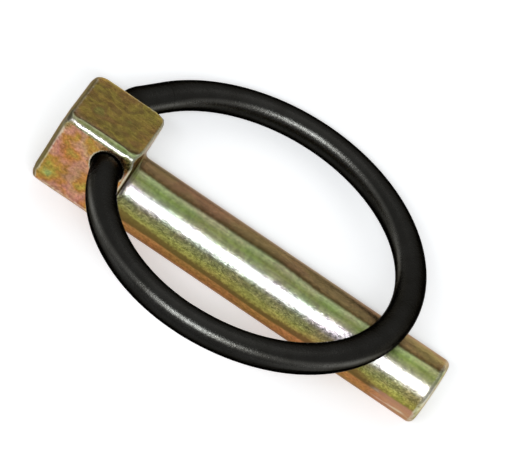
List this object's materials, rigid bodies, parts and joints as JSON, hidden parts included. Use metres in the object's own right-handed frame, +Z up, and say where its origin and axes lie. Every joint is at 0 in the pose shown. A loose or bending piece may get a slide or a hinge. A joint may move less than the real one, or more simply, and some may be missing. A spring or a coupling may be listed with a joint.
{
  "type": "lynch pin",
  "caption": "Quick-release locking pin: a plated round shank with a square head and a black spring wire ring that swings over it.",
  "frame": {"origin": "where the shank's axis meets the head's shoulder", "axes": "+X along the shank to its tip; +Z up, with the part lying as it comes to rest on the shank and one long edge of the head, so the ring's side of the head leans towards +Y"},
  "size_m": [0.0619, 0.0487, 0.0214],
  "materials": {
    "plated_steel": "yellow zinc plate with an uneven gold, green and pink film",
    "black_wire": "smooth black oxide, oiled, half gloss"
  },
  "bodies": {
    "pin": {"pin_body": "plated_steel"},
    "ring": {"ring": "black_wire"}
  },
  "joints": [
    {"name": "ring_hinge", "type": "hinge", "parent": "pin", "child": "ring", "pos_m": [-0.0042, 0.00227, 0.00534], "axis": [0.1745, -0.9234, 0.3418], "range_deg": [0, 338]}
  ]
}
